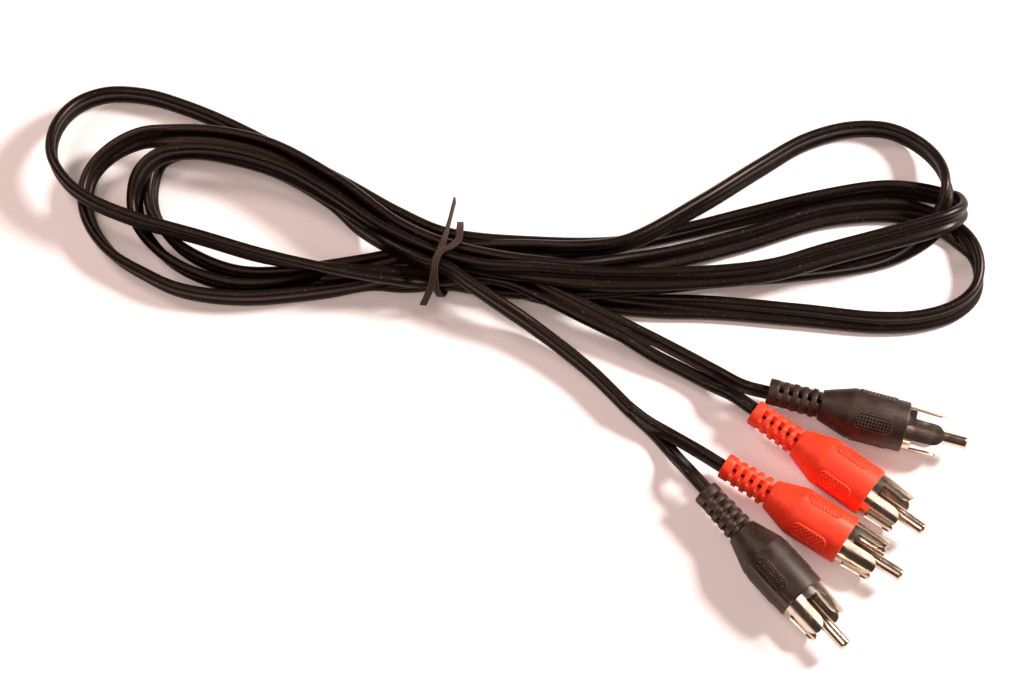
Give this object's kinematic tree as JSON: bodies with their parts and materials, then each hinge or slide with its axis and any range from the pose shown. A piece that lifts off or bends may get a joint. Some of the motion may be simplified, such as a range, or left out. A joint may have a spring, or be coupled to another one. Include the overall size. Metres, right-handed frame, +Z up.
{
  "type": "stereo audio cable with pin plugs",
  "caption": "Flat twin audio cable in a loose hank held by a twist tie, with a red and a black moulded pin plug at each end.",
  "frame": {"origin": "on the floor, under the middle of the box round the four plugs", "axes": "+Z up from the floor that the cable lies on, +X along the hank from its tie towards the plugs' side, +Y from the plugs towards the hank"},
  "size_m": [0.2345, 0.147, 0.0165],
  "materials": {
    "red_vinyl": "satin moulded soft vinyl",
    "black_vinyl": "satin moulded soft vinyl",
    "nickel": "bright nickel plate",
    "insulator_polymer": "moulded polymer disc",
    "cord_vinyl": "semi-gloss extruded vinyl",
    "tie_vinyl": "ribbed vinyl strip on a soft wire"
  },
  "bodies": {
    "root": {"near_black_hood": "black_vinyl", "near_red_hood": "red_vinyl", "far_red_hood": "red_vinyl", "far_black_hood": "black_vinyl", "near_black_contact_shell": "nickel", "near_red_contact_shell": "nickel", "far_red_contact_shell": "nickel", "far_black_contact_shell": "nickel", "near_black_centre_pin": "nickel", "near_red_centre_pin": "nickel", "far_red_centre_pin": "nickel", "far_black_centre_pin": "nickel", "near_black_insulator": "insulator_polymer", "near_red_insulator": "insulator_polymer", "far_red_insulator": "insulator_polymer", "far_black_insulator": "insulator_polymer", "near_black_strand": "cord_vinyl", "near_red_strand": "cord_vinyl", "far_red_strand": "cord_vinyl", "far_black_strand": "cord_vinyl", "twin_cord": "cord_vinyl", "twist_tie": "tie_vinyl"}
  },
  "joints": []
}
